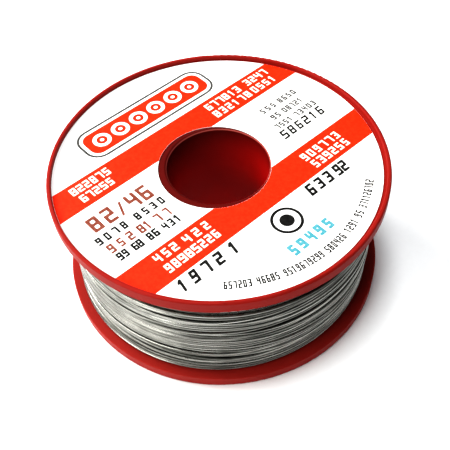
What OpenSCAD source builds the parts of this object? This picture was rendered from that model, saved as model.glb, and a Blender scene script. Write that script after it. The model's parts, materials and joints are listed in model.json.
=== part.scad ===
// Small reel of flux-cored solder wire.
// Two moulded flanges sit on the spigots of a core tube. The wire is wound between
// them, and a printed paper ring lies in the recess of the upper flange.
// The origin is the centre of the lower rim, and +Z runs along the spindle bore.

/* [Reel] */
// Outside diameter of both flanges
flange_d = 56; // [52:1:70]
// Width over both flanges
reel_w = 24; // [20:0.5:40]
// Thickness of a flange at its rim
rim_t = 2.2; // [1.8:0.1:3]
// Width of the raised lip round the label recess
lip_w = 0.7; // [0.6:0.05:2]
// Depth of the label recess in each flange
recess_depth = 0.9; // [0.3:0.05:1.1]
// Rounding of a rim beside its lip
rim_round = 0.3; // [0.1:0.05:0.35]
// Rounding of a rim beside the wire
inner_round = 0.2; // [0.1:0.1:1]
// Rounding of the inner edge of the lip
lip_round = 0.15; // [0.05:0.05:0.15]

/* [Core tube] */
// Diameter of the spindle bore
bore_d = 17; // [12:0.5:20]
// Wall of the core tube where the wire lies on it
barrel_wall = 2.5; // [2:0.1:5]
// Wall of the spigots that carry the flanges
spigot_wall = 1.5; // [1.2:0.1:1.8]
// Rounding at both mouths of the bore
mouth_round = 0.5; // [0.1:0.05:0.8]
// Radial clearance between a spigot and its flange
seat_clearance = 0.05; // [0.02:0.01:0.1]

/* [Label] */
// Thickness of the paper ring
label_t = 0.12; // [0.08:0.02:0.18]
// Radial clearance between the paper ring and the lip
label_clearance = 0.3; // [0.15:0.05:0.4]
// Gap that is left where the paper ring lies nearest to the lip
label_gap = 0.05; // [0.01:0.01:0.12]
// How much larger than the bore the punched hole is, on the radius
label_margin = 0.8; // [0.6:0.05:1.2]
// How far the punched hole is off the centre of the reel
hole_offset = 0.7; // [0:0.05:0.75]
// Direction in which the punched hole is off centre
hole_a = 210; // [0:5:355]

/* [Wire] */
// Diameter of the solder wire
wire_d = 0.5; // [0.4:0.05:1]
// Diameter of the flux core inside the wire
flux_d = 0.2; // [0.1:0.02:0.3]
// Depth from the edge of a flange to the last full layer
free_rim = 2; // [1.8:0.1:5]
// Space left beside each turn of the last, partial layer
lay_gap = 0.03; // [0.03:0.01:0.06]
// Number of turns in the last, partial layer
last_turns_n = 6; // [3:1:9]
// Number of turns piled up beside the lower flange
piled_n = 3; // [1:1:6]
// Width of the bare strip where the free end comes out
tuck_gap = 1; // [0.6:0.1:1.5]
// Length of the straight free end
free_end_l = 5; // [2:0.5:8]

/* [Hidden] */

// Curves, and the few flats that stand for a thin wire's round section
round_fn = 96;
edge_fn = 32;
turn_fn = 8;
over = 1;

// Reel
flange_r = flange_d / 2;
recess_r = flange_r - lip_w;
web_t = rim_t - recess_depth;
bore_r = bore_d / 2;
barrel_r = bore_r + barrel_wall;
spigot_r = bore_r + spigot_wall;
seat_r = spigot_r + seat_clearance;

// Label
label_r = recess_r - label_clearance;
label_x = label_gap - label_clearance;
label_hole_r = bore_r + label_margin;

// Winding space between the inner faces of the flanges
low_face = rim_t;
high_face = reel_w - rim_t;
full_r = flange_r - free_rim;
pack_r = full_r - wire_d;

// Last full layer: turns that overlap a little, so that the layer is one sleeve
slot_w = wire_d + 2 * lay_gap;
layer_w = high_face - low_face - slot_w;
turns_n = floor(layer_w / wire_d);
turn_pitch = layer_w / turns_n;
turn_r = 0.54 * turn_pitch;
sunk_depth = 0.3 * wire_d;
// Turns, counted from the lower flange, that have sunk between their neighbours
sunk_turns = [3, 8, 9, 13, 17, 22, 23, 29, 33];
// A piled turn lies in the valley between two turns of the layer
pile_rise = sqrt(wire_d ^ 2 - (turn_pitch / 2) ^ 2);

// Last, partial layer: one wire that fills the slot beside the upper flange,
// climbs over itself, runs down and passes under its own last two turns
wire_r = wire_d / 2;
turn_steps = 48;
step_a = 360 / turn_steps;
chord_fit = 1 / cos(step_a / 2);
low_r = (pack_r + wire_r + lay_gap) * chord_fit;
high_r = low_r + wire_d + lay_gap;
lay_pitch = wire_d + 2 * lay_gap;
first_z = high_face - slot_w / 2;
climb_a = 30;
cross_a = 50;
tucked_n = 2;
tail_a = 32;
start_a = 72;
end_a = 360 * last_turns_n + tail_a;
hump_h = 1.1 * wire_d;
hump_a = 16;
hump_flank_a = 9;

// Smooth step from 0 to 1, and its inverse
function ease(x) = let (c = min(1, max(0, x))) c * c * (3 - 2 * c);
function ease_at(y) = 0.5 - sin(asin(1 - 2 * y) / 3);

// Height of turn k, where the tucked turns stand below the bare strip
function turn_z(k) =
    first_z - lay_pitch * max(0, k) - (k >= last_turns_n - tucked_n ? tuck_gap : 0);

// The tail leaves the last turn, passes under the tucked ones and ends in the strip
tail_z0 = turn_z(last_turns_n);
tail_z1 = (turn_z(last_turns_n - tucked_n) + turn_z(last_turns_n - tucked_n - 1)) / 2;
function tail_z(a) = tail_z0 + (tail_z1 - tail_z0) * ease(a / tail_a);

// Angle along the tail at which it passes under turn k
function pass_a(k) = tail_a * ease_at((turn_z(k) - tail_z0) / (tail_z1 - tail_z0));

// Height and radius of the wire's centre line after a degrees of winding
function lay_z(a) =
    let (k = floor(a / 360), into_cross = a - 360 * (k + 1) + cross_a)
    a >= 360 * last_turns_n
        ? tail_z(a - 360 * last_turns_n)
        : turn_z(k) + (turn_z(k + 1) - turn_z(k)) * ease(into_cross / cross_a);
function hump(a, k) =
    hump_h * ease((hump_a - abs(a - 360 * k - pass_a(k))) / hump_flank_a);
function humps(a) = max([for (i = [1:tucked_n]) hump(a, last_turns_n - i)]);
function lay_r(a) = low_r + (high_r - low_r) * ease(1 + a / climb_a) + humps(a);
function lay_point(a) =
    [lay_r(a) * cos(start_a + a), lay_r(a) * sin(start_a + a), lay_z(a)];

// Direction of the wire, and the ring of points round its centre line
function unit(v) = v / norm(v);
function lay_dir(a) = unit(lay_point(a + 0.1) - lay_point(a - 0.1));
function wire_ring(a) =
    let (
        dir = lay_dir(a),
        out = [cos(start_a + a), sin(start_a + a), 0],
        side = unit(cross(dir, out)),
        up = cross(side, dir)
    )
    [
        for (i = [0:turn_fn - 1])
            lay_point(a)
                + wire_r * cos(360 * i / turn_fn) * up
                + wire_r * sin(360 * i / turn_fn) * side
    ];

// What is cut off a square corner at the origin, with the material below and to the left
module corner_waste(r) {
    difference() {
        translate([-r, -r])
            square(r + over);
        translate([-r, -r])
            circle(r = r, $fn = edge_fn);
    }
}

// Section of a flange, with its inner face on the X axis and its outer face up
module flange_section() {
    difference() {
        translate([seat_r, 0])
            square([flange_r - seat_r, rim_t]);
        // Label recess
        translate([0, web_t])
            square([recess_r, recess_depth + over]);
        // Rounded edges of the rim and of its lip
        translate([flange_r, rim_t])
            corner_waste(rim_round);
        translate([flange_r, 0])
            mirror([0, 1])
                corner_waste(inner_round);
        translate([recess_r, rim_t])
            mirror([1, 0])
                corner_waste(lip_round);
    }
}

module flange() {
    rotate_extrude($fn = round_fn)
        flange_section();
}

module top_flange() {
    color("firebrick")
        translate([0, 0, high_face])
            flange();
}

module bottom_flange() {
    color("firebrick")
        translate([0, 0, low_face])
            mirror([0, 0, 1])
                flange();
}

// The flanges rest on the shoulders of the barrel, round its spigots
module core_section() {
    spigot_low = recess_depth;
    spigot_high = reel_w - recess_depth;
    difference() {
        union() {
            translate([bore_r, low_face])
                square([barrel_wall, high_face - low_face]);
            translate([bore_r, spigot_low])
                square([spigot_wall, spigot_high - spigot_low]);
        }
        translate([bore_r, spigot_high])
            mirror([1, 0])
                corner_waste(mouth_round);
        translate([bore_r, spigot_low])
            mirror([1, 0])
                mirror([0, 1])
                    corner_waste(mouth_round);
    }
}

module core_tube() {
    color("firebrick")
        rotate_extrude($fn = round_fn)
            core_section();
}

// The paper ring has slid towards one side of its recess
module paper_label() {
    color("white")
        translate([0, 0, reel_w - recess_depth])
            difference() {
                translate([label_x, 0])
                    cylinder(r = label_r, h = label_t, $fn = round_fn);
                rotate(hole_a)
                    translate([hole_offset, 0, -over])
                        cylinder(r = label_hole_r, h = label_t + 2 * over, $fn = round_fn);
            }
}

// All the layers under the last full one
module inner_layers() {
    color("gray")
        rotate_extrude($fn = round_fn)
            translate([barrel_r, low_face])
                square([pack_r - barrel_r, high_face - low_face]);
}

// One turn of the last full layer, in section, counted from the lower flange
module turn_section(k, rise) {
    translate([full_r - turn_r + rise, low_face + (k + 0.5) * turn_pitch])
        circle(r = turn_r, $fn = turn_fn);
}

module outer_layer() {
    sleeve_r = full_r - turn_r - sunk_depth;
    color("silver")
        rotate_extrude($fn = round_fn)
            intersection() {
                union() {
                    translate([pack_r, low_face])
                        square([sleeve_r - pack_r, layer_w]);
                    for (k = [0:turns_n - 1])
                        turn_section(k, len(search(k, sunk_turns)) > 0 ? -sunk_depth : 0);
                    for (k = [0:piled_n - 1])
                        turn_section(k + 0.5, pile_rise);
                }
                translate([pack_r, low_face])
                    square([full_r - pack_r + pile_rise + over, layer_w]);
            }
}

// The wire is swept as one skin round all its rings, closed at both ends
module last_turns() {
    angles = [for (i = [0:round((360 + end_a) / step_a) - 1]) i * step_a - 360];
    stops = [for (a = angles) if (a < end_a - step_a / 2) a];
    rings = [for (a = concat(stops, [end_a])) wire_ring(a)];
    last = len(rings) - 1;
    points = [for (ring = rings) for (point = ring) point];
    skin = [
        for (j = [0:last - 1])
            for (i = [0:turn_fn - 1])
                let (
                    here = j * turn_fn + i,
                    beside = j * turn_fn + (i + 1) % turn_fn
                )
                each [
                    [here, beside, here + turn_fn],
                    [beside, beside + turn_fn, here + turn_fn]
                ]
    ];
    start_cap = [for (i = [0:turn_fn - 1]) turn_fn - 1 - i];
    end_cap = [for (i = [0:turn_fn - 1]) last * turn_fn + i];
    color("silver")
        polyhedron(points = points, faces = concat(skin, [start_cap, end_cap]));
}

// Puts its children at the end of the swept wire, with +Z along the wire
module at_wire_end() {
    dir = lay_dir(end_a);
    translate(lay_point(end_a))
        rotate([0, acos(dir.z), atan2(dir.y, dir.x)])
            children();
}

module free_end() {
    color("silver")
        at_wire_end()
            difference() {
                cylinder(r = wire_r, h = free_end_l, $fn = edge_fn);
                translate([0, 0, -over])
                    cylinder(d = flux_d, h = free_end_l + 2 * over, $fn = edge_fn);
            }
}

module flux_core() {
    color("peru")
        at_wire_end()
            cylinder(d = flux_d, h = free_end_l, $fn = edge_fn);
}

top_flange();
bottom_flange();
core_tube();
paper_label();
inner_layers();
outer_layer();
last_turns();
free_end();
flux_core();
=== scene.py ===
import json
import math
import random

import bpy
from mathutils import Matrix, Vector, noise

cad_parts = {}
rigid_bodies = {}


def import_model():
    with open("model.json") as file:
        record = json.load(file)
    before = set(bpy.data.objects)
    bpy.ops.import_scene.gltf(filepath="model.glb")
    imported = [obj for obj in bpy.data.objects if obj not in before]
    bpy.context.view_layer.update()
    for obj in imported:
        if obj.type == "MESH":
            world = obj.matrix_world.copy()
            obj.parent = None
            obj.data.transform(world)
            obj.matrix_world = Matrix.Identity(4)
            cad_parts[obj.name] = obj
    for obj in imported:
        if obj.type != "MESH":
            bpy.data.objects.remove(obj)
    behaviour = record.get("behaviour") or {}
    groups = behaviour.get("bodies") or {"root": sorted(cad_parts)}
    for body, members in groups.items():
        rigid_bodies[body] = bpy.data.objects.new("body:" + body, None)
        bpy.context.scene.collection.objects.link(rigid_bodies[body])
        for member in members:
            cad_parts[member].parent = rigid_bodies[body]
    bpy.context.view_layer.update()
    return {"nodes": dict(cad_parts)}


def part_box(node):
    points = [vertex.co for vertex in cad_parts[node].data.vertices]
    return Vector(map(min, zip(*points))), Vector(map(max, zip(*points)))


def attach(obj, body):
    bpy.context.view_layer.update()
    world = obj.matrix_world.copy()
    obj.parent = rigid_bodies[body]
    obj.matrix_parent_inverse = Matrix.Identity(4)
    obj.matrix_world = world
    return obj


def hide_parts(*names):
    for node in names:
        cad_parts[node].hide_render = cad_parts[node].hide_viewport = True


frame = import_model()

mm = 0.001
turnAngle = 2 * math.pi
print("frame loaded, nodes:", ", ".join(sorted(frame["nodes"])))


# Small helpers

def linearColour(hexText):
    channels = [int(hexText[i:i + 2], 16) / 255 for i in (1, 3, 5)]
    linear = [c / 12.92 if c <= 0.04045 else ((c + 0.055) / 1.055) ** 2.4 for c in channels]
    return (*linear, 1)


def addNode(tree, kind, settings=None, sockets=None):
    # A socket goes by its name, or by its number where several have one name
    node = tree.nodes.new(kind)
    for name, value in (settings or {}).items():
        setattr(node, name, value)
    for name, value in (sockets or {}).items():
        if isinstance(value, bpy.types.NodeSocket):
            tree.links.new(value, node.inputs[name])
        else:
            node.inputs[name].default_value = value
    return node


def smoothStep(x):
    x = min(1, max(0, x))
    return x * x * (3 - 2 * x)


def addObject(name, data):
    piece = bpy.data.objects.new(name, data)
    bpy.context.scene.collection.objects.link(piece)
    return piece


def addPaths(name, paths, closed):
    # A mesh of bare edges, which the node trees turn into curves
    points, edges = [], []
    for path in paths:
        first = len(points)
        points += path
        edges += [(i, i + 1) for i in range(first, len(points) - 1)]
        if closed:
            edges.append((len(points) - 1, first))
    mesh = bpy.data.meshes.new(name)
    mesh.from_pydata(points, edges, [])
    return mesh


# Camera, lights and floor

viewPoint = {
    "place": (0.55 * mm, -83.65 * mm, 108.25 * mm),
    "elevation": 50.32,     # degrees above the horizon
    "roll": -3.27,          # degrees about the line of sight
    "lens": 57.99,          # on a 36 mm sensor
}
cameraData = bpy.data.cameras.new("camera")
cameraData.lens = viewPoint["lens"]
cameraData.sensor_width = 36
cameraData.clip_start = 1 * mm
camera = addObject("camera", cameraData)
camera.matrix_world = (
    Matrix.Translation(viewPoint["place"])
    @ Matrix.Rotation(math.radians(90 - viewPoint["elevation"]), 4, "X")
    @ Matrix.Rotation(math.radians(viewPoint["roll"]), 4, "Z")
)
bpy.context.scene.camera = camera

studio = {
    "aim": (0, 0, 10 * mm),
    # name: place in m, width and height in m, watts, colour
    "softBoxes": {
        "windowLeft": ((-0.39, -0.195, 0.27), 0.50, 0.24, 2.0, "#fffefa"),
        "windowBehind": ((-0.34, 0.20, 0.26), 0.30, 0.22, 3.0, "#fffefa"),
        "topLamp": ((-0.024, 0.016, 0.60), 0.16, 0.16, 2.2, "#fbfdff"),
    },
    "skyColour": "#f2f3f4",
    "skyStrength": 0.12,
    "look": "Medium High Contrast",
    "exposure": 0.2,
}
for name, (place, width, height, watts, tint) in studio["softBoxes"].items():
    lamp = bpy.data.lights.new(name, "AREA")
    lamp.shape = "RECTANGLE"
    lamp.size = width
    lamp.size_y = height
    lamp.energy = watts
    lamp.color = linearColour(tint)[:3]
    softBox = addObject(name, lamp)
    softBox.location = place
    aimLine = Vector(studio["aim"]) - Vector(place)
    softBox.rotation_euler = aimLine.to_track_quat("-Z", "Y").to_euler()

sky = bpy.data.worlds.new("studioSky")
sky.use_nodes = True
skyLight = sky.node_tree.nodes["Background"]
skyLight.inputs["Color"].default_value = linearColour(studio["skyColour"])
skyLight.inputs["Strength"].default_value = studio["skyStrength"]
bpy.context.scene.world = sky
bpy.context.scene.view_settings.view_transform = "Standard"
bpy.context.scene.view_settings.look = studio["look"]
bpy.context.scene.view_settings.exposure = studio["exposure"]


def newMaterial(name, settings):
    material = bpy.data.materials.new(name)
    material.use_nodes = True
    tree = material.node_tree
    shader = tree.nodes["Principled BSDF"]
    for socket, value in settings.items():
        shader.inputs[socket].default_value = value
    return material, tree, shader


def floorPaper():
    # Seamless background paper, matt and a little fibrous: gives a plain pale ground
    material, tree, shader = newMaterial("seamlessPaper", {"Roughness": 0.85, "IOR": 1.45})
    place = addNode(tree, "ShaderNodeTexCoord").outputs["Object"]
    fibre = addNode(tree, "ShaderNodeTexNoise", sockets={
        "Vector": place, "Scale": 1 / (1.2 * mm), "Detail": 4})
    tone = addNode(tree, "ShaderNodeMix", {"data_type": "RGBA"}, {
        "Factor": fibre.outputs["Fac"],
        6: linearColour("#f6f6f6"), 7: linearColour("#fdfdfd")})
    tree.links.new(tone.outputs[2], shader.inputs["Base Color"])
    bump = addNode(tree, "ShaderNodeBump", sockets={
        "Strength": 0.15, "Distance": 0.02 * mm, "Height": fibre.outputs["Fac"]})
    tree.links.new(bump.outputs["Normal"], shader.inputs["Normal"])
    return material


floorSize = {"half": 1.5, "cells": 12}      # m, and squares along each side
cells, half = floorSize["cells"], floorSize["half"]
row = cells + 1
marks = [half * (2 * i / cells - 1) for i in range(row)]
floorCorners = [(x, y, 0) for y in marks for x in marks]
floorSquares = [
    (k, k + 1, k + row + 1, k + row) for j in range(cells) for k in range(j * row, j * row + cells)
]
floorMesh = bpy.data.meshes.new("floor")
floorMesh.from_pydata(floorCorners, [], floorSquares)
floorMesh.materials.append(floorPaper())
addObject("floor", floorMesh)
print("camera, lights and floor are set")


# Materials

def mouldedPolystyrene(name, top, tones):
    # Red high-impact polystyrene, injection moulded: a smooth skin with soft flow marks and light scuffs
    material, tree, shader = newMaterial(name, {"IOR": 1.59, "Specular IOR Level": 0.04})
    place = addNode(tree, "ShaderNodeTexCoord").outputs["Object"]
    # The tone changes with the height, as painted light and painted shade: each tone has its place in mm
    # from the top
    levels = list(tones)
    lowest, highest = levels[0], levels[-1]
    apart = addNode(tree, "ShaderNodeSeparateXYZ", sockets={"Vector": place})
    height = addNode(tree, "ShaderNodeMapRange", sockets={
        "Value": apart.outputs["Z"], "From Min": top + lowest * mm, "From Max": top + highest * mm})
    tone = addNode(tree, "ShaderNodeValToRGB", sockets={"Fac": height.outputs["Result"]})
    stops = tone.color_ramp.elements
    while len(stops) < len(levels):
        stops.new(1)
    for stop, (level, hexText) in zip(stops, tones.items()):
        stop.position = (level - lowest) / (highest - lowest)
        stop.color = linearColour(hexText)
    # The pigment spreads in the mould, so the colour drifts over about 9 mm
    drift = addNode(tree, "ShaderNodeTexNoise", sockets={
        "Vector": place, "Scale": 1 / (9 * mm), "Detail": 3})
    depth = addNode(tree, "ShaderNodeMapRange", sockets={
        "Value": drift.outputs["Fac"], "To Min": 0.84, "To Max": 1.16})
    flow = addNode(tree, "ShaderNodeHueSaturation", sockets={
        "Color": tone.outputs["Color"], "Value": depth.outputs["Result"]})
    tree.links.new(flow.outputs["Color"], shader.inputs["Base Color"])
    # Orange peel of about 0.7 mm and fine scuffs of about 0.15 mm
    peel = addNode(tree, "ShaderNodeTexNoise", sockets={
        "Vector": place, "Scale": 1 / (0.7 * mm), "Detail": 2})
    scuffs = addNode(tree, "ShaderNodeTexNoise", sockets={
        "Vector": place, "Scale": 1 / (0.15 * mm), "Detail": 5, "Distortion": 1.5})
    gloss = addNode(tree, "ShaderNodeMapRange", sockets={
        "Value": scuffs.outputs["Fac"], "From Min": 0.35, "From Max": 0.75, "To Min": 0.42, "To Max": 0.56})
    tree.links.new(gloss.outputs["Result"], shader.inputs["Roughness"])
    bump = addNode(tree, "ShaderNodeBump", sockets={
        "Strength": 0.15, "Distance": 0.005 * mm, "Height": peel.outputs["Fac"]})
    tree.links.new(bump.outputs["Normal"], shader.inputs["Normal"])
    return material


def coatedPaper():
    # Clay-coated label paper: a smooth bright white with a silk sheen and a trace of fibre
    material, tree, shader = newMaterial("coatedPaper", {"IOR": 1.5})
    place = addNode(tree, "ShaderNodeTexCoord").outputs["Object"]
    fibre = addNode(tree, "ShaderNodeTexNoise", sockets={
        "Vector": place, "Scale": 1 / (0.3 * mm), "Detail": 6, "Roughness": 0.65})
    tone = addNode(tree, "ShaderNodeMix", {"data_type": "RGBA"}, {
        "Factor": fibre.outputs["Fac"],
        6: linearColour("#f4f2ef"), 7: linearColour("#fdfcfa")})
    tree.links.new(tone.outputs[2], shader.inputs["Base Color"])
    sheen = addNode(tree, "ShaderNodeMapRange", sockets={
        "Value": fibre.outputs["Fac"], "To Min": 0.42, "To Max": 0.58})
    tree.links.new(sheen.outputs["Result"], shader.inputs["Roughness"])
    bump = addNode(tree, "ShaderNodeBump", sockets={
        "Strength": 0.2, "Distance": 0.006 * mm, "Height": fibre.outputs["Fac"]})
    tree.links.new(bump.outputs["Normal"], shader.inputs["Normal"])
    return material


def offsetInk(name, fullHex, thinHex):
    # Offset printing ink on coated paper: satin, and a little uneven where the paper took less of it
    material, tree, shader = newMaterial(name, {"IOR": 1.48, "Specular IOR Level": 0.08})
    place = addNode(tree, "ShaderNodeTexCoord").outputs["Object"]
    mottle = addNode(tree, "ShaderNodeTexNoise", sockets={
        "Vector": place, "Scale": 1 / (0.5 * mm), "Detail": 4, "Roughness": 0.6})
    cover = addNode(tree, "ShaderNodeMapRange", sockets={
        "Value": mottle.outputs["Fac"], "From Min": 0.4, "From Max": 0.8})
    tone = addNode(tree, "ShaderNodeMix", {"data_type": "RGBA"}, {
        "Factor": cover.outputs["Result"],
        6: linearColour(fullHex), 7: linearColour(thinHex)})
    tree.links.new(tone.outputs[2], shader.inputs["Base Color"])
    satin = addNode(tree, "ShaderNodeMapRange", sockets={
        "Value": mottle.outputs["Fac"], "To Min": 0.38, "To Max": 0.55})
    tree.links.new(satin.outputs["Result"], shader.inputs["Roughness"])
    return material


def drawnSolder(name, dullHex, brightHex, dullest, glossiest):
    # Tin-lead wire pulled through a die: soft silver grey, with drawing lines along it and dull stretches
    material, tree, shader = newMaterial(name, {"Metallic": 1.0})
    along = addNode(tree, "ShaderNodeUVMap", {"uv_map": "wireMap"}).outputs["UV"]
    # The map is in mm along the wire and in turns round it. The lines are some 4 mm long and 0.1 mm
    # apart, and the dull stretches some 20 mm long and nearly as wide as the wire
    lineMap = addNode(tree, "ShaderNodeMapping", sockets={"Vector": along, "Scale": (0.25, 15, 1)})
    lines = addNode(tree, "ShaderNodeTexNoise", sockets={
        "Vector": lineMap.outputs["Vector"], "Scale": 1.0, "Detail": 3})
    stretchMap = addNode(tree, "ShaderNodeMapping", sockets={"Vector": along, "Scale": (0.05, 0.8, 1)})
    stretches = addNode(tree, "ShaderNodeTexNoise", sockets={
        "Vector": stretchMap.outputs["Vector"], "Scale": 1.0, "Detail": 4})
    # Handling tarnishes it in faint patches of about 3 mm that run over many turns
    place = addNode(tree, "ShaderNodeTexCoord").outputs["Object"]
    tarnish = addNode(tree, "ShaderNodeTexNoise", sockets={
        "Vector": place, "Scale": 1 / (3 * mm), "Detail": 3})
    wear = addNode(tree, "ShaderNodeMix", sockets={
        "Factor": 0.15, "A": stretches.outputs["Fac"], "B": tarnish.outputs["Fac"]})
    clean = addNode(tree, "ShaderNodeMapRange", sockets={
        "Value": wear.outputs["Result"], "From Min": 0.38, "From Max": 0.62})
    tone = addNode(tree, "ShaderNodeMix", {"data_type": "RGBA"}, {
        "Factor": clean.outputs["Result"],
        6: linearColour(dullHex), 7: linearColour(brightHex)})
    tree.links.new(tone.outputs[2], shader.inputs["Base Color"])
    shine = addNode(tree, "ShaderNodeMapRange", sockets={
        "Value": clean.outputs["Result"], "To Min": dullest, "To Max": glossiest})
    tree.links.new(shine.outputs["Result"], shader.inputs["Roughness"])
    bump = addNode(tree, "ShaderNodeBump", sockets={
        "Strength": 0.3, "Distance": 0.01 * mm, "Height": lines.outputs["Fac"]})
    tree.links.new(bump.outputs["Normal"], shader.inputs["Normal"])
    return material


def shadedPackSolder():
    # The same wire deep in the winding: turns half a millimetre apart, in dark tones that are painted
    # shade, with a dust-like mottle
    turnPitch = 0.5 * mm
    waveAngle = 20      # radians that the wave texture turns in a metre, at scale 1
    material, tree, shader = newMaterial("shadedPackedTinLead", {"Metallic": 1.0})
    place = addNode(tree, "ShaderNodeTexCoord").outputs["Object"]
    turns = addNode(tree, "ShaderNodeTexWave", {"bands_direction": "Z", "wave_profile": "SIN"}, {
        "Vector": place, "Scale": turnAngle / (waveAngle * turnPitch), "Distortion": 0.4, "Detail": 1})
    dust = addNode(tree, "ShaderNodeTexNoise", sockets={
        "Vector": place, "Scale": 1 / (2 * mm), "Detail": 5})
    # Painted shade: both tones are dark because the pack lies in shade under the turns
    tone = addNode(tree, "ShaderNodeMix", {"data_type": "RGBA"}, {
        "Factor": dust.outputs["Fac"],
        6: linearColour("#3c3d3b"), 7: linearColour("#5d5e5b")})
    tree.links.new(tone.outputs[2], shader.inputs["Base Color"])
    dull = addNode(tree, "ShaderNodeMapRange", sockets={
        "Value": dust.outputs["Fac"], "To Min": 0.45, "To Max": 0.65})
    tree.links.new(dull.outputs["Result"], shader.inputs["Roughness"])
    bump = addNode(tree, "ShaderNodeBump", sockets={
        "Strength": 0.8, "Distance": 0.12 * mm, "Height": turns.outputs["Fac"]})
    tree.links.new(bump.outputs["Normal"], shader.inputs["Normal"])
    return material


def rosinFlux():
    # Solid rosin: clear amber that looks dark where it is cut
    material, tree, shader = newMaterial("rosinFlux", {"IOR": 1.53, "Transmission Weight": 0.3})
    place = addNode(tree, "ShaderNodeTexCoord").outputs["Object"]
    cloud = addNode(tree, "ShaderNodeTexNoise", sockets={
        "Vector": place, "Scale": 1 / (0.1 * mm), "Detail": 3})
    tone = addNode(tree, "ShaderNodeMix", {"data_type": "RGBA"}, {
        "Factor": cloud.outputs["Fac"],
        6: linearColour("#8a5418"), 7: linearColour("#c98b34")})
    tree.links.new(tone.outputs[2], shader.inputs["Base Color"])
    cut = addNode(tree, "ShaderNodeMapRange", sockets={
        "Value": cloud.outputs["Fac"], "To Min": 0.15, "To Max": 0.35})
    tree.links.new(cut.outputs["Result"], shader.inputs["Roughness"])
    return material


# Painted light: the lower flange is painted paler than the upper one, which is a deeper red
flangePolystyrene = mouldedPolystyrene("mouldedPolystyrene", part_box("top_flange")[1].z, {
    -24: "#91221c", 0: "#881a14"})
# Painted shade darkens the bore towards its mouth and on the top of the mouth, and a painted highlight
# makes a pale line on the rounding of the mouth
tubePolystyrene = mouldedPolystyrene("tubePolystyrene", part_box("core_tube")[1].z, {
    -8.7: "#ae0b08", -0.4: "#520404", -0.27: "#a44c45", -0.2: "#a44c45", -0.12: "#540c09", 0.3: "#540c09"})
solder = drawnSolder("drawnTinLead", "#4b4c47", "#ababa5", 0.35, 0.20)
# Painted shade: the turns below get a darker, duller copy of the wire, so the gaps between the loose turns
# look dark
shadedBuriedSolder = drawnSolder("shadedBuriedTinLead", "#242423", "#444441", 0.6, 0.42)
nodeFinish = {
    "top_flange": flangePolystyrene,
    "bottom_flange": flangePolystyrene,
    "core_tube": tubePolystyrene,
    "paper_label": coatedPaper(),
    "inner_layers": shadedPackSolder(),
    "flux_core": rosinFlux(),
}
for name, material in nodeFinish.items():
    node = frame["nodes"][name]
    node.data.materials.clear()
    node.data.materials.append(material)
print("materials are on the carried nodes")


# Node trees

def newTree(name, inputs):
    tree = bpy.data.node_groups.new(name, "GeometryNodeTree")
    for label, kind in inputs:
        tree.interface.new_socket(label, in_out="INPUT", socket_type="NodeSocket" + kind)
    tree.interface.new_socket("Geometry", in_out="OUTPUT", socket_type="NodeSocketGeometry")
    return tree, addNode(tree, "NodeGroupInput").outputs


def closeTree(tree, geometry, material):
    solid = addNode(tree, "GeometryNodeRealizeInstances", sockets={"Geometry": geometry})
    finish = addNode(tree, "GeometryNodeSetMaterial", sockets={
        "Geometry": solid.outputs["Geometry"], "Material": material})
    addNode(tree, "NodeGroupOutput", sockets={"Geometry": finish.outputs["Geometry"]})
    return tree


def bakeTree(name, tree, values, start=None):
    holder = addObject(name + "Start", start or bpy.data.meshes.new(name + "Start"))
    modifier = holder.modifiers.new("nodes", "NODES")
    modifier.node_group = tree
    for socket in tree.interface.items_tree:
        if socket.in_out == "INPUT" and socket.name in values:
            modifier[socket.identifier] = values[socket.name]
    depsgraph = bpy.context.evaluated_depsgraph_get()
    mesh = bpy.data.meshes.new_from_object(holder.evaluated_get(depsgraph))
    mesh.name = name
    holder.modifiers.remove(modifier)
    bpy.data.objects.remove(holder)
    return addObject(name, mesh)


def sweepTree():
    # A round wire with closed ends along any path, with a map in mm along it and turns round it
    tree, inputs = newTree("wireSweep", (
        ("Geometry", "Geometry"), ("Wire Diameter", "Float"), ("Sides", "Int"), ("Finish", "Material")))
    path = addNode(tree, "GeometryNodeMeshToCurve", sockets={"Mesh": inputs["Geometry"]})
    alongPath = addNode(tree, "GeometryNodeSplineParameter").outputs["Length"]
    pathMap = addNode(tree, "GeometryNodeCaptureAttribute", {"domain": "POINT"})
    pathMap.capture_items.new("FLOAT", "Along")
    tree.links.new(path.outputs["Curve"], pathMap.inputs["Geometry"])
    millimetres = addNode(tree, "ShaderNodeMath", {"operation": "DIVIDE"}, {0: alongPath, 1: mm})
    tree.links.new(millimetres.outputs[0], pathMap.inputs["Along"])
    radius = addNode(tree, "ShaderNodeMath", {"operation": "MULTIPLY"}, {
        0: inputs["Wire Diameter"], 1: 0.5})
    ring = addNode(tree, "GeometryNodeCurvePrimitiveCircle", {"mode": "RADIUS"}, {
        "Resolution": inputs["Sides"], "Radius": radius.outputs[0]})
    roundRing = addNode(tree, "GeometryNodeSplineParameter").outputs["Factor"]
    ringMap = addNode(tree, "GeometryNodeCaptureAttribute", {"domain": "POINT"})
    ringMap.capture_items.new("FLOAT", "Round")
    tree.links.new(ring.outputs["Curve"], ringMap.inputs["Geometry"])
    tree.links.new(roundRing, ringMap.inputs["Round"])
    skin = addNode(tree, "GeometryNodeCurveToMesh", sockets={
        "Curve": pathMap.outputs["Geometry"], "Profile Curve": ringMap.outputs["Geometry"],
        "Fill Caps": True})
    smooth = addNode(tree, "GeometryNodeSetShadeSmooth", sockets={"Geometry": skin.outputs["Mesh"]})
    place = addNode(tree, "ShaderNodeCombineXYZ", sockets={
        "X": pathMap.outputs["Along"], "Y": ringMap.outputs["Round"]})
    mapped = addNode(tree, "GeometryNodeStoreNamedAttribute", {"data_type": "FLOAT2", "domain": "CORNER"}, {
        "Geometry": smooth.outputs["Geometry"], "Name": "wireMap", "Value": place.outputs["Vector"]})
    return closeTree(tree, mapped.outputs["Geometry"], inputs["Finish"])


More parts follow.
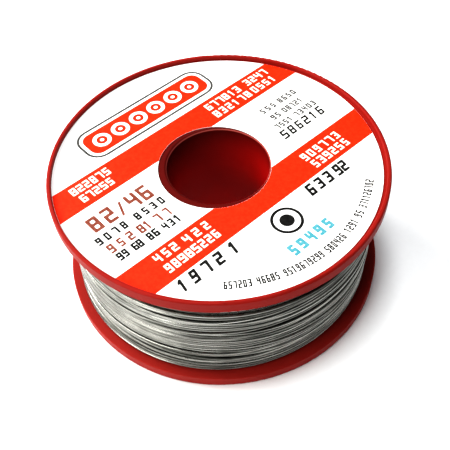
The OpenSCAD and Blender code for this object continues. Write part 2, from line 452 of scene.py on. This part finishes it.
def helixTree(sweep):
    # Even turns side by side, as the traverse of a winding machine lays them
    tree, inputs = newTree("evenTurns", (
        ("Turns", "Float"), ("Steps per Turn", "Int"), ("Radius", "Float"), ("Low Height", "Float"),
        ("Pitch", "Float"), ("Wire Diameter", "Float"), ("Sides", "Int"), ("Finish", "Material")))
    count = addNode(tree, "ShaderNodeMath", {"operation": "MULTIPLY_ADD"}, {
        0: inputs["Turns"], 1: inputs["Steps per Turn"], 2: 1})
    line = addNode(tree, "GeometryNodeMeshLine", {"mode": "OFFSET"}, {
        "Count": count.outputs[0], "Offset": (0, 0, mm)})
    index = addNode(tree, "GeometryNodeInputIndex").outputs["Index"]
    turns = addNode(tree, "ShaderNodeMath", {"operation": "DIVIDE"}, {
        0: index, 1: inputs["Steps per Turn"]}).outputs[0]
    height = addNode(tree, "ShaderNodeMath", {"operation": "MULTIPLY_ADD"}, {
        0: turns, 1: inputs["Pitch"], 2: inputs["Low Height"]})
    angle = addNode(tree, "ShaderNodeMath", {"operation": "MULTIPLY"}, {0: turns, 1: turnAngle})
    across = {}
    for axis, operation in (("X", "COSINE"), ("Y", "SINE")):
        wave = addNode(tree, "ShaderNodeMath", {"operation": operation}, {0: angle.outputs[0]})
        across[axis] = addNode(tree, "ShaderNodeMath", {"operation": "MULTIPLY"}, {
            0: inputs["Radius"], 1: wave.outputs[0]}).outputs[0]
    place = addNode(tree, "ShaderNodeCombineXYZ", sockets={**across, "Z": height.outputs[0]})
    laid = addNode(tree, "GeometryNodeSetPosition", sockets={
        "Geometry": line.outputs["Mesh"], "Position": place.outputs["Vector"]})
    wire = addNode(tree, "GeometryNodeGroup", {"node_tree": sweep}, {
        "Geometry": laid.outputs["Geometry"], "Wire Diameter": inputs["Wire Diameter"],
        "Sides": inputs["Sides"]})
    return closeTree(tree, wire.outputs["Geometry"], inputs["Finish"])


wireSweep = sweepTree()
evenTurns = helixTree(wireSweep)


# Winding

reel = {
    "lowFace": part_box("bottom_flange")[1].z,
    "highFace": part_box("top_flange")[0].z,
    "packRadius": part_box("inner_layers")[1].x,
    "wire": 0.5 * mm,
    "sink": 0.13 * mm,          # how deep the even turns lie in the solid pack
    "flangeGap": 0.01 * mm,     # between the even turns and the lower flange
    "lift": 0.055 * mm,         # how much the full layer stands off the pack
    "clearance": 0.03 * mm,
}
clearance = reel["clearance"]
evenLayer = {
    "Turns": 37.9,
    "Steps per Turn": 120,
    "Radius": reel["packRadius"] - reel["sink"],
    "Low Height": reel["lowFace"] + reel["wire"] / 2 + reel["flangeGap"],
    "Pitch": 0.503 * mm,
    "Wire Diameter": reel["wire"],
    "Sides": 8,
    "Finish": shadedBuriedSolder,
}
evenTurnsPiece = bakeTree("lowerTurns", evenTurns, evenLayer)
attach(evenTurnsPiece, "root")
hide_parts("outer_layer")

# The last full layer wanders: its turns part here and there and show the even turns below.
# Azimuths, reaches and crossings are in degrees, and turns are counted from the lower flange
looseLayer = {
    "steps": 120,               # points in a turn
    "sides": 10,
    "pitch": 0.504 * mm,
    "turns": 34.7,
    "topBlock": 7,              # turns under the last turns, which lie evenly
    "wander": 0.04 * mm,        # how far a turn strays up and down
    "strays": 2.7,              # and how often in a turn
    "beside": 0.495 * mm,       # turns so far apart lie side by side
    "softening": 4,             # points to each side that the stiff wire takes to round off a step
    "headroom": 0.02 * mm,      # how much a rider may stand above a second layer
    "seed": 7,
    # The lowest turns stand out on one side, up to a height above the flange
    "bulge": {"out": 0.55 * mm, "azimuth": 245, "reach": 80, "height": 3 * mm, "fade": 2 * mm},
    # Gaps: turn below it, width in mm, azimuth where it is widest, and reach
    "gaps": ((15.5, 0.12, 318, 26),),
    # More of them on the far side, each value drawn between two limits
    "backGaps": {"count": 4, "width": (0.15, 0.35), "azimuth": (50, 130), "reach": (30, 50)},
    # Turns that ride on the one below them: number, from and to azimuth, and how far down in turns
    "riders": (
        (0, 252, 282, 0.16), (4, 240, 265, 0.16), (5, 266, 279, 0.2), (7, 283, 294, 0.2),
        (6, 294, 310, 0.18), (7, 255, 270, 0.1), (8, 215, 275, 0.22), (9, 275, 288, 0.24),
        (10, 288, 304, 0.24), (11, 304, 332, 0.16), (8, 305, 335, 0.1), (14, 284, 297, 0.18),
        (15, 297, 336, 0.24), (16, 257, 274, 0.16), (17, 274, 292, 0.2), (20, 222, 240, 0.22),
        (19, 240, 264, 0.2), (18, 276, 333, 0.2), (21, 288, 318, 0.16), (23, 205, 228, 0.2),
        (24, 228, 242, 0.22), (25, 242, 270, 0.22), (24, 270, 288, 0.2), (23, 288, 313, 0.18),
    ),
    "backRiders": {"count": 12, "from": 45, "to": 135, "stray": 10, "half": (15, 40), "down": (0.15, 0.35)},
    "crossing": 12,             # what a rider takes to climb over
}
lowRadius = reel["packRadius"] + reel["wire"] / 2 + clearance + reel["lift"]
highRadius = lowRadius + reel["wire"] + clearance
# The full layer ends one wire below the turn that climbs to the last turns
topTurn = reel["highFace"] - 1.5 * reel["wire"] - 3 * clearance


def nearness(azimuth, middle, reach):
    away = abs((azimuth - middle + 180) % 360 - 180)
    return smoothStep(1 - away / reach)


def plannedGaps(settings, chance):
    # A gap opens and closes on one side of the reel, and the wire crosses to its upper edge on the other
    highest = settings["turns"] - settings["topBlock"] - 1
    gaps, back = list(settings["gaps"]), settings["backGaps"]
    for i in range(back["count"]):
        # Anywhere in its share of the turns, except close to the next share
        turn = highest * (i + chance.uniform(0.1, 0.9)) / back["count"]
        gaps.append((turn, *(chance.uniform(*back[part]) for part in ("width", "azimuth", "reach"))))
    return [(math.floor(turn) + ((azimuth + 180) / 360) % 1, width * mm, azimuth, reach)
            for turn, width, azimuth, reach in gaps]


def plannedRiders(settings, chance):
    highest = int(settings["turns"]) - settings["topBlock"] - 1
    riders, back = list(settings["riders"]), settings["backRiders"]
    for i in range(back["count"]):
        middle = back["from"] + (back["to"] - back["from"]) * i / back["count"]
        middle += chance.uniform(-back["stray"], back["stray"])
        half = chance.uniform(*back["half"])
        turn = chance.randint(0, highest)
        riders.append((turn, middle - half, middle + half, chance.uniform(*back["down"])))
    return riders


def looseHeight(turns, gaps, riders, settings):
    angle = 360 * turns
    base = evenLayer["Low Height"]
    height = base + settings["pitch"] * turns
    # The spare height goes to the gaps first, and what is left parts all turns evenly
    spare = topTurn - base - settings["pitch"] * settings["turns"]
    opened = [(width * nearness(angle % 360, azimuth, reach), turn)
              for turn, width, azimuth, reach in gaps]
    scale = min(1, spare / (sum(width for width, turn in opened) or spare))
    height += scale * sum(width for width, turn in opened if turns > turn)
    spare -= scale * sum(width for width, turn in opened)
    last = settings["turns"] - settings["topBlock"]
    height += spare * min(1, turns / last)
    if turns < last:
        stray = noise.noise(Vector((turns * settings["strays"], settings["seed"], 0)))
        height += settings["wander"] * stray
        down = 0
        for turn, start, end, share in riders:
            into = (angle - 360 * turn - start) / settings["crossing"]
            out = (end - angle + 360 * turn) / settings["crossing"]
            down = max(down, share * smoothStep(into + 0.5) * smoothStep(out + 0.5))
        height -= (settings["pitch"] + spare / last) * down
    return max(height, base)


def settle(heights, settings, limit):
    # Each point comes to rest on the even turns or on the turns laid before it, at the same angle
    steps, wire, even = settings["steps"], reel["wire"], evenLayer
    radii = []
    for i, z in enumerate(heights):
        share = (i % steps) / steps
        below = (z - even["Low Height"]) / even["Pitch"] - share
        rest = even["Radius"]
        for k in (math.floor(below), math.floor(below) + 1):
            away = z - (even["Low Height"] + (k + share) * even["Pitch"])
            if abs(away) < wire:
                rest = max(rest, even["Radius"] + math.sqrt(wire ** 2 - away ** 2))
        for j in range(i - steps, -1, -steps):
            away = z - heights[j]
            if abs(away) < settings["beside"]:
                rest = max(rest, radii[j] + math.sqrt(wire ** 2 - away ** 2))
        radii.append(min(rest, limit))

    def around(values, i):
        return values[max(0, i - settings["softening"]):i + settings["softening"] + 1]

    spread = [max(around(radii, i)) for i in range(len(radii))]
    return [sum(around(spread, i)) / len(around(spread, i)) for i in range(len(spread))]


chance = random.Random(looseLayer["seed"])
gaps, riders = plannedGaps(looseLayer, chance), plannedRiders(looseLayer, chance)
steps, bulge = looseLayer["steps"], looseLayer["bulge"]
looseHeights = [
    looseHeight(i / steps, gaps, riders, looseLayer) for i in range(int(looseLayer["turns"] * steps))
]
looseRadii = settle(looseHeights, looseLayer, highRadius + looseLayer["headroom"])
loosePath = []
for i, (radius, z) in enumerate(zip(looseRadii, looseHeights)):
    aside = nearness(360 * i / steps, bulge["azimuth"], bulge["reach"])
    radius += bulge["out"] * aside * smoothStep((reel["lowFace"] + bulge["height"] - z) / bulge["fade"])
    angle = turnAngle * i / steps
    loosePath.append((radius * math.cos(angle), radius * math.sin(angle), z))
loosePiece = bakeTree("upperTurns", wireSweep, {
    "Wire Diameter": reel["wire"], "Sides": looseLayer["sides"], "Finish": solder},
    addPaths("looseTurns", [loosePath], False))
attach(loosePiece, "root")
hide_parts("outer_layer")

# The last turns lie over that layer beside the upper flange, and the tail is tucked under two of them.
# Angles are in degrees along the wire, from where its climb ends
lastTurns = {
    "turns": 6,
    "tucked": 2,            # turns over the tail
    "pitch": reel["wire"] + 2 * clearance,
    "firstHeight": reel["highFace"] - reel["wire"] / 2 - clearance,
    "bareStrip": 1.0 * mm,  # above the tucked turns
    "leadIn": 360,          # the turn before, still in the full layer
    "climb": 30,            # the end of that turn
    "cross": 50,            # at the end of each turn, over to the next one
    "tail": 32,
    "start": 72,            # azimuth where the climb ends
    "hump": 0.55 * mm,      # over the tail
    "humpReach": 16,
    "humpFlank": 9,
    "freeEnd": 5.0 * mm,
    "endParts": 5,          # straight pieces of the free end
    "sides": 12,
    "step": 2.5,            # from point to point
}


def lastTurnHeight(k):
    drop = lastTurns["bareStrip"] if k >= lastTurns["turns"] - lastTurns["tucked"] else 0
    return lastTurns["firstHeight"] - lastTurns["pitch"] * max(0, k) - drop


def lastWireAt(angle):
    turns, tail = lastTurns["turns"], lastTurns["tail"]
    firstTucked = turns - lastTurns["tucked"]
    tailStart = lastTurnHeight(turns)
    stripMiddle = (lastTurnHeight(firstTucked) + lastTurnHeight(firstTucked - 1)) / 2
    if angle >= 360 * turns:
        height = tailStart + (stripMiddle - tailStart) * smoothStep((angle - 360 * turns) / tail)
    else:
        k = math.floor(angle / 360)
        across = smoothStep((angle - 360 * (k + 1) + lastTurns["cross"]) / lastTurns["cross"])
        height = lastTurnHeight(k) + (lastTurnHeight(k + 1) - lastTurnHeight(k)) * across
    radius = lowRadius + (highRadius - lowRadius) * smoothStep(1 + angle / lastTurns["climb"])
    for k in range(firstTucked, turns):
        # Where the tail passes under this turn: the angle at which its smooth step reaches that height
        share = (lastTurnHeight(k) - tailStart) / (stripMiddle - tailStart)
        under = 360 * k + tail * (0.5 - math.sin(math.asin(1 - 2 * share) / 3))
        radius += lastTurns["hump"] * smoothStep(
            (lastTurns["humpReach"] - abs(angle - under)) / lastTurns["humpFlank"])
    around = math.radians(lastTurns["start"] + angle)
    return Vector((radius * math.cos(around), radius * math.sin(around), height))


endAngle = 360 * lastTurns["turns"] + lastTurns["tail"]
wholeAngle = lastTurns["leadIn"] + endAngle
stops = int(wholeAngle / lastTurns["step"])
lastPath = [lastWireAt(wholeAngle * i / stops - lastTurns["leadIn"]) for i in range(stops + 1)]
nudge = 0.1     # degrees, to find the way that the wire goes at its end
lastWay = (lastWireAt(endAngle + nudge) - lastWireAt(endAngle - nudge)).normalized()
endParts = lastTurns["endParts"]
lastPath += [lastPath[-1] + lastWay * lastTurns["freeEnd"] * i / endParts for i in range(1, endParts + 1)]
lastPiece = bakeTree("lastTurns", wireSweep, {
    "Wire Diameter": reel["wire"], "Sides": lastTurns["sides"], "Finish": solder},
    addPaths("lastTurns", [[tuple(point) for point in lastPath]], False))
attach(lastPiece, "root")
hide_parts("last_turns", "free_end")
print("winding:", len(loosePath), "points in the full layer,", len(lastPath), "in the last turns")


# Print on the paper ring

def flatToPlate(tree, faces, inputs):
    # Flat faces become a thin closed plate of ink, turned and set on the paper
    raised = addNode(tree, "GeometryNodeExtrudeMesh", {"mode": "FACES"}, {
        "Mesh": faces, "Offset Scale": inputs["Ink Thickness"], "Individual": False})
    under = addNode(tree, "GeometryNodeFlipFaces", sockets={"Mesh": faces})
    both = addNode(tree, "GeometryNodeJoinGeometry")
    tree.links.new(raised.outputs["Mesh"], both.inputs["Geometry"])
    tree.links.new(under.outputs["Mesh"], both.inputs["Geometry"])
    plate = addNode(tree, "GeometryNodeMergeByDistance", sockets={
        "Geometry": both.outputs["Geometry"], "Distance": 0.002 * mm})
    turned = addNode(tree, "GeometryNodeTransform", sockets={
        "Geometry": plate.outputs["Geometry"], "Translation": inputs["Place"], "Rotation": inputs["Turn"]})
    return closeTree(tree, turned.outputs["Geometry"], inputs["Ink"])


def inkPlateTree():
    # Any closed outlines, filled; an outline within another one is a hole
    tree, inputs = newTree("inkPlate", (
        ("Geometry", "Geometry"), ("Ink Thickness", "Float"), ("Place", "Vector"), ("Turn", "Vector"),
        ("Ink", "Material")))
    outline = addNode(tree, "GeometryNodeMeshToCurve", sockets={"Mesh": inputs["Geometry"]})
    filled = addNode(tree, "GeometryNodeFillCurve", {"mode": "TRIANGLES"}, {
        "Curve": outline.outputs["Curve"]})
    return flatToPlate(tree, filled.outputs["Mesh"], inputs)


def figureRowTree():
    # Rows of plain figures along lines or arcs, picked at random from a collection of ten outlines
    tree, inputs = newTree("figureRow", (
        ("Geometry", "Geometry"), ("Figures", "Collection"), ("Pitch", "Float"), ("Corner", "Float"),
        ("Slant", "Float"), ("Seed", "Int"), ("Ink Thickness", "Float"), ("Place", "Vector"),
        ("Turn", "Vector"), ("Ink", "Material")))
    path = addNode(tree, "GeometryNodeMeshToCurve", sockets={"Mesh": inputs["Geometry"]})
    stops = addNode(tree, "GeometryNodeResampleCurve", {"mode": "LENGTH"}, {
        "Curve": path.outputs["Curve"], "Length": inputs["Pitch"]})
    figures = addNode(tree, "GeometryNodeCollectionInfo", sockets={
        "Collection": inputs["Figures"], "Separate Children": True, "Reset Children": True})
    # Each stop gets one of the ten outlines, a little wider or narrower than drawn
    kind = addNode(tree, "FunctionNodeRandomValue", {"data_type": "INT"}, {
        4: 0, 5: 9, "Seed": inputs["Seed"]})
    nextSeed = addNode(tree, "ShaderNodeMath", {"operation": "ADD"}, {0: inputs["Seed"], 1: 1})
    stretch = addNode(tree, "FunctionNodeRandomValue", {"data_type": "FLOAT_VECTOR"}, {
        0: (0.9, 0.97, 1), 1: (1.06, 1.03, 1), "Seed": nextSeed.outputs[0]})
    heading = addNode(tree, "FunctionNodeAlignRotationToVector", {"axis": "X"}, {
        "Vector": addNode(tree, "GeometryNodeInputTangent").outputs["Tangent"]})
    placed = addNode(tree, "GeometryNodeInstanceOnPoints", sockets={
        "Points": stops.outputs["Curve"], "Instance": figures.outputs["Instances"],
        "Pick Instance": True, "Instance Index": kind.outputs[2],
        "Rotation": heading.outputs["Rotation"], "Scale": stretch.outputs[0]})
    flat = addNode(tree, "GeometryNodeRealizeInstances", sockets={
        "Geometry": placed.outputs["Instances"]})
    place = addNode(tree, "GeometryNodeInputPosition").outputs["Position"]
    apart = addNode(tree, "ShaderNodeSeparateXYZ", sockets={"Vector": place})
    lean = addNode(tree, "ShaderNodeMath", {"operation": "MULTIPLY"}, {
        0: apart.outputs["Y"], 1: inputs["Slant"]})
    shear = addNode(tree, "ShaderNodeCombineXYZ", sockets={"X": lean.outputs[0]})
    slanted = addNode(tree, "GeometryNodeSetPosition", sockets={
        "Geometry": flat.outputs["Geometry"], "Offset": shear.outputs["Vector"]})
    outline = addNode(tree, "GeometryNodeMeshToCurve", sockets={"Mesh": slanted.outputs["Geometry"]})
    soft = addNode(tree, "GeometryNodeFilletCurve", {"mode": "POLY"}, {
        "Curve": outline.outputs["Curve"], "Count": 2, "Radius": inputs["Corner"],
        "Limit Radius": True})
    filled = addNode(tree, "GeometryNodeFillCurve", {"mode": "TRIANGLES"}, {
        "Curve": soft.outputs["Curve"]})
    return flatToPlate(tree, filled.outputs["Mesh"], inputs)


def figureOutlines(width, height, stroke):
    # The ten figures from straight strokes, centred on their place
    x, y, s, m = width / 2, height / 2, stroke, stroke / 2
    outer = [(-x, -y), (x, -y), (x, y), (-x, y)]
    hole = [(s - x, s - y), (x - s, s - y), (x - s, y - s), (s - x, y - s)]
    lowHole = [(s - x, s - y), (x - s, s - y), (x - s, -m), (s - x, -m)]
    one = [(-m, -y), (m, -y), (m, y), (-m, y),
           (-m - 0.7 * s, y - s), (-m - 0.7 * s, y - 1.8 * s), (-m, y - 1.5 * s)]
    three = [(-x, -y), (x, -y), (x, y), (-x, y), (-x, y - s), (x - s, y - s), (x - s, m),
             (-x / 2, m), (-x / 2, -m), (x - s, -m), (x - s, s - y), (-x, s - y)]
    four = [(-x, y), (s - x, y), (s - x, m), (x - s, m), (x - s, y),
            (x, y), (x, -y), (x - s, -y), (x - s, -m), (-x, -m)]
    five = [(-x, -y), (x, -y), (x, m), (s - x, m), (s - x, y - s), (x, y - s),
            (x, y), (-x, y), (-x, -m), (x - s, -m), (x - s, s - y), (-x, s - y)]
    six = [(-x, -y), (x, -y), (x, m), (s - x, m), (s - x, y - s), (x, y - s), (x, y), (-x, y)]
    seven = [(-x, y), (x, y), (x, -y), (x - s, -y), (x - s, y - s), (-x, y - s)]

    def turned(points):
        return [(-px, -py) for px, py in points]

    def mirrored(points):
        return [(-px, py) for px, py in reversed(points)]

    return [
        [outer, hole], [one], [mirrored(five)], [three], [four], [five], [six, lowHole], [seven],
        [outer, lowHole, turned(lowHole)], [turned(six), turned(lowHole)],
    ]


inkPlate = inkPlateTree()
figureRow = figureRowTree()

# The print has its own axes: u runs along the stripes and v across them, both in mm
labelPrint = {
    "turn": 40.0,                       # degrees from +X to u
    "centre": (0.11 * mm, 0.21 * mm),
    "inkThickness": 0.02 * mm,
    "edge": 26.97,                      # the ink ends just inside the paper
    "holeGap": 0.03,                    # and just outside the punched hole
    "edgeSteps": 16,                    # of the outline along each of them
    "holeSteps": 24,
    "stripes": ((7.3, 13.1), (-12.95, -6.8)),
    "badge": {"u": (-13.5, 12.1), "v": (15.4, 20.7), "corner": 1.7, "border": 0.6, "line": 0.42},
    "rings": {"from": -10.5, "to": 9.1, "count": 6, "outer": 1.65, "inner": 0.95, "dot": 0.38},
    "mark": {"centre": (-0.8, -16.4), "outer": 2.6, "inner": 2.12, "dot": 1.2},
    "slash": {"from": (-18.35, 1.9), "to": (-17.3, 4.7), "width": 0.45},
    "figureGap": 0.75,                  # between two figures of a row, in strokes
    "figureCorner": 0.3,                # radius, in strokes
}
inks = {
    "vermilion": offsetInk("vermilionInk", "#ec2607", "#f03211"),
    "white": offsetInk("opaqueWhiteInk", "#f8ece0", "#efd8c6"),
    "black": offsetInk("blackInk", "#0f0f0e", "#242322"),
    "grey": offsetInk("greyInk", "#3a3938", "#5a5856"),
    "brown": offsetInk("russetInk", "#733629", "#8c5344"),
    "cyan": offsetInk("paleCyanInk", "#43909d", "#66a5b0"),
}
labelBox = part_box("paper_label")
labelTop = labelBox[1].z
labelMiddle = ((labelBox[0].x + labelBox[1].x) / 2 / mm, (labelBox[0].y + labelBox[1].y) / 2 / mm)


def measureHole():
    # Centre and radius of the punched hole in mm, from the points of the label that lie near its middle
    corners = [v.co for v in frame["nodes"]["paper_label"].data.vertices]
    inner = [p for p in corners if math.hypot(p.x, p.y) < (labelBox[1].x - labelBox[0].x) / 3]
    low = [min(p[i] for p in inner) for i in (0, 1)]
    high = [max(p[i] for p in inner) for i in (0, 1)]
    return ((low[0] + high[0]) / 2 / mm, (low[1] + high[1]) / 2 / mm), (high[0] - low[0]) / 2 / mm


holeMiddle, holeRadius = measureHole()


def printCoords(x, y):
    # From reel axes in mm to the print's own axes
    turn = math.radians(labelPrint["turn"])
    x, y = x - labelPrint["centre"][0] / mm, y - labelPrint["centre"][1] / mm
    return x * math.cos(turn) + y * math.sin(turn), y * math.cos(turn) - x * math.sin(turn)


def arcPoints(centre, radius, start, end, count):
    return [
        (centre[0] + radius * math.cos(start + (end - start) * i / count),
         centre[1] + radius * math.sin(start + (end - start) * i / count))
        for i in range(count + 1)
    ]


def circlePoints(centre, radius, count=40):
    return arcPoints(centre, radius, 0, turnAngle, count)[:-1]


def roundedOutline(uRange, vRange, corner, count=6):
    (lowU, highU), (lowV, highV) = uRange, vRange
    points = []
    for k, (u, v) in enumerate(((highU, lowV), (highU, highV), (lowU, highV), (lowU, lowV))):
        inU = -corner if k < 2 else corner
        inV = corner if k in (0, 3) else -corner
        start, end = math.radians(90 * (k - 1)), math.radians(90 * k)
        points += arcPoints((u + inU, v + inV), corner, start, end, count)
    return points


def stripeOutline(near, far, side):
    # One stripe from edge to edge of the paper, with the punched hole cut out of its near side
    def circleAt(middle, radius):
        u, v = printCoords(*middle)
        return u, side * v, radius

    def reach(circle, v, way):
        # Where the circle has this v, on the left of its centre (-1) or on the right (1)
        middleU, middleV, radius = circle
        return middleU + way * math.sqrt(radius ** 2 - (v - middleV) ** 2)

    def arcBetween(circle, start, end, count):
        middleU, middleV, radius = circle
        bearings = [math.atan2(v - middleV, reach(circle, v, way) - middleU) for v, way in (start, end)]
        return arcPoints((middleU, middleV), radius, *bearings, count)

    paper = circleAt(labelMiddle, labelPrint["edge"])
    hole = circleAt(holeMiddle, holeRadius + labelPrint["holeGap"])
    outline = [(reach(paper, near, -1), near)]
    outline += arcBetween(hole, (near, -1), (near, 1), labelPrint["holeSteps"])
    outline += arcBetween(paper, (near, 1), (far, 1), labelPrint["edgeSteps"])
    outline += arcBetween(paper, (far, -1), (near, -1), labelPrint["edgeSteps"])[:-1]
    return [(u, side * v) for u, v in outline]


def badgeOutline(out):
    (lowU, highU), (lowV, highV) = badge["u"], badge["v"]
    return roundedOutline((lowU - out, highU + out), (lowV - out, highV + out), badge["corner"] + out)


def setPrint(name, tree, paths, closed, ink, level=0, values=None):
    # Level 1 lies on another ink
    outlines = [[(u * mm, v * mm, 0) for u, v in path] for path in paths]
    thickness = labelPrint["inkThickness"]
    piece = bakeTree(name, tree, {
        "Ink Thickness": thickness,
        "Place": (*labelPrint["centre"], labelTop + level * thickness),
        "Turn": (0, 0, math.radians(labelPrint["turn"])),
        "Ink": inks[ink],
        **(values or {}),
    }, addPaths(name, outlines, closed))
    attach(piece, "root")
    return piece


badge, rings = labelPrint["badge"], labelPrint["rings"]
redOutlines = []
for stripe in labelPrint["stripes"]:
    near, far = sorted(abs(v) for v in stripe)
    redOutlines.append(stripeOutline(near, far, 1 if stripe[0] > 0 else -1))
redOutlines.append(badgeOutline(0))
ringV = sum(badge["v"]) / 2
for i in range(rings["count"]):
    ringU = rings["from"] + (rings["to"] - rings["from"]) * i / (rings["count"] - 1)
    redOutlines += [circlePoints((ringU, ringV), rings[size]) for size in ("outer", "inner", "dot")]
setPrint("printStripes", inkPlate, redOutlines, True, "vermilion")

setPrint("printBadgeLine", inkPlate, [
    badgeOutline(badge["border"]), badgeOutline(badge["border"] + badge["line"])], True, "grey")

mark = labelPrint["mark"]
setPrint("printMark", inkPlate, [
    circlePoints(mark["centre"], mark["outer"]), circlePoints(mark["centre"], mark["inner"]),
    circlePoints(mark["centre"], mark["dot"], count=24)], True, "black")


def setFigures(name, paths, ink, level, height, width, stroke, slant, seed):
    figures = bpy.data.collections.new(name + "Figures")
    for i, outlines in enumerate(figureOutlines(width, height, stroke)):
        loops = [[(x * mm, y * mm, 0) for x, y in outline] for outline in outlines]
        figures.objects.link(bpy.data.objects.new(f"{name}Figure{i}", addPaths("figure", loops, True)))
    setPrint(name, figureRow, paths, False, ink, level, {
        "Figures": figures,
        "Pitch": (width + labelPrint["figureGap"] * stroke) * mm,
        "Corner": labelPrint["figureCorner"] * stroke * mm,
        "Slant": slant,
        "Seed": seed,
    })
    for figure in list(figures.objects):
        bpy.data.objects.remove(figure)
    bpy.data.collections.remove(figures)


# Rows of figures: ink, level, height, width and stroke in mm, slant, and the words as (from u, to u, v).
# A row's place in this list is its random seed
figureRows = {
    "printStripeWords": ("white", 1, 1.7, 1.03, 0.32, 0, (
        (-21.5, -14.0, 11.45), (-21.1, -14.9, 9.2), (7.4, 15.2, 11.4), (16.8, 22.0, 11.5),
        (7.3, 15.7, 9.05), (16.4, 21.8, 9.1), (-20.2, -16.0, -8.3), (-14.7, -9.9, -8.5),
        (-20.1, -9.9, -10.8), (10.4, 18.9, -9.0), (10.6, 18.8, -11.2))),
    "printLargeRow": ("brown", 0, 3.2, 1.85, 0.57, 0, ((-23.4, -18.9, 3.6), (-16.2, -12.0, 3.4))),
    "printBlackRows": ("black", 0, 1.6, 0.92, 0.34, 0, (
        (-24.5, -18.9, 0.35), (-17.2, -11.6, 0.3), (-23.9, -22.0, -4.1), (-21.1, -19.3, -4.15),
        (-18.3, -16.3, -4.2), (-15.4, -12.1, -4.3))),
    "printBrownRow": ("brown", 0, 1.8, 1.02, 0.36, 0, (
        (-24.0, -19.4, -2.0), (-18.4, -16.2, -2.1), (-15.2, -12.4, -2.2))),
    "printGreyRows": ("grey", 0, 1.3, 0.73, 0.273, 0, (
        (13.5, 16.7, 3.85), (17.7, 21.7, 3.85), (13.8, 15.6, 1.5), (16.5, 21.0, 1.5),
        (12.6, 16.3, -0.7), (17.2, 22.1, -0.7))),
    "printDateRow": ("black", 0, 2.0, 1.2, 0.36, 0.2, ((12.5, 22.3, -2.85),)),
    "printSizeRows": ("black", 0, 2.3, 1.32, 0.46, 0.2, (
        (-17.9, -12.0, -14.5), (-10.9, -6.7, -14.55), (8.7, 14.0, -14.6), (14.9, 17.6, -14.65))),
    "printCyanRow": ("cyan", 0, 2.1, 1.205, 0.5, 0, ((-4.8, 3.8, -21.1),)),
}
for seed, (name, (ink, level, height, width, stroke, slant, words)) in enumerate(figureRows.items()):
    paths = [[(a + width / 2, v), (b - width / 2, v)] for a, b, v in words]
    setFigures(name, paths, ink, level, height, width, stroke, slant, seed)

# A long line of small words along the paper's edge
arcRow = {
    "radius": 24.5,
    "from": -130.8,                     # degrees from u
    "pitch": 0.69,
    "words": (6, 5, 10, 6, 4, 2, 9),    # figures in each
    "spare": 0.1,                       # of a pitch, so that no word loses its last figure
    "height": 1.35,
    "width": 0.526,
    "stroke": 0.212,
    "seed": 40,
}
figureAngle = arcRow["pitch"] / arcRow["radius"]
arcWords, done = [], 0
for count in arcRow["words"]:
    start = math.radians(arcRow["from"]) + figureAngle * (done + 0.5)
    end = start + figureAngle * (count - 1 + arcRow["spare"])
    arcWords.append(arcPoints((0, 0), arcRow["radius"], start, end, 3 * count))
    done += count + 1
setFigures("printArcRow", arcWords, "black", 0, arcRow["height"], arcRow["width"], arcRow["stroke"], 0,
           arcRow["seed"])

slash = labelPrint["slash"]
(lowU, lowV), (highU, highV), across = slash["from"], slash["to"], slash["width"]
setPrint("printSlash", inkPlate, [[
    (lowU, lowV), (lowU + across, lowV), (highU + across, highV), (highU, highV)]], True, "brown")
print("print: stripes, badge and", len(figureRows) + 1, "groups of rows")
